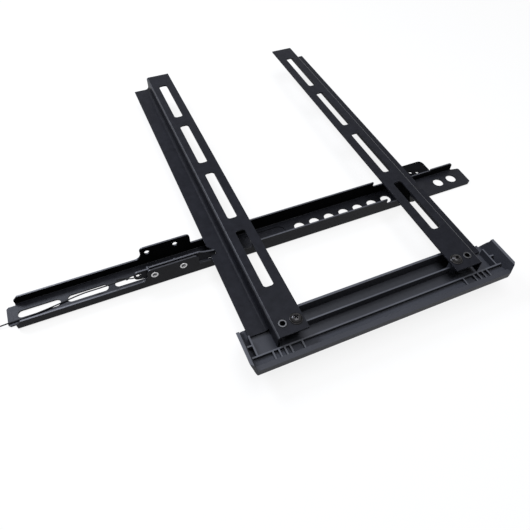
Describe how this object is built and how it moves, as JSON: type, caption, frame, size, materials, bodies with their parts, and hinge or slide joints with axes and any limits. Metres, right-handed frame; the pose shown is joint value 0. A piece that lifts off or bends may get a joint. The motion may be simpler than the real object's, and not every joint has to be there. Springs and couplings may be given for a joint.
{
  "type": "fixed tv wall bracket",
  "caption": "Fixed screen wall bracket: a folded steel wall rail with a cord-pulled lock, slotted hanging arms and a ribbed plastic cross bar joining the arms' lower ends.",
  "frame": {"origin": "on the wall plane, on the rail's line of holes, midway between the two arms", "axes": "+X along the rail to the right, +Y up the wall along the arms, +Z out from the wall towards the screen"},
  "size_m": [0.609, 0.4832, 0.0427],
  "materials": {
    "coated_steel": "fine textured black powder coat",
    "bar_plastic": "moulded dark grey plastic",
    "nickel": "nickel plated",
    "screw_steel": "black oxide with worn edges",
    "spring_steel": "spring wire",
    "cord": "braided cord",
    "tie": "soft band"
  },
  "bodies": {
    "bracket": {"wall_rail": "coated_steel", "left_arm": "coated_steel", "right_arm": "coated_steel", "left_hook_plate": "coated_steel", "right_hook_plate": "coated_steel", "lock_eyelet_left": "nickel", "lock_eyelet_right": "nickel", "left_collar": "nickel", "right_collar": "nickel", "left_bar_screw": "screw_steel", "right_bar_screw": "screw_steel", "lock_spring": "spring_steel", "cross_bar": "bar_plastic"},
    "lock": {"lock_slider": "coated_steel", "cord_knot": "cord", "cord_loop": "cord", "cord_coil": "cord", "cord_tie": "tie", "pull_cord": "cord"}
  },
  "joints": [
    {"name": "lock_slide", "type": "slide", "parent": "bracket", "child": "lock", "axis": [-1, 0, 0], "range_m": [0, 0.01], "stiffness_N_per_m": 250, "springref_m": -0.006, "deforming": ["lock_spring"]}
  ]
}
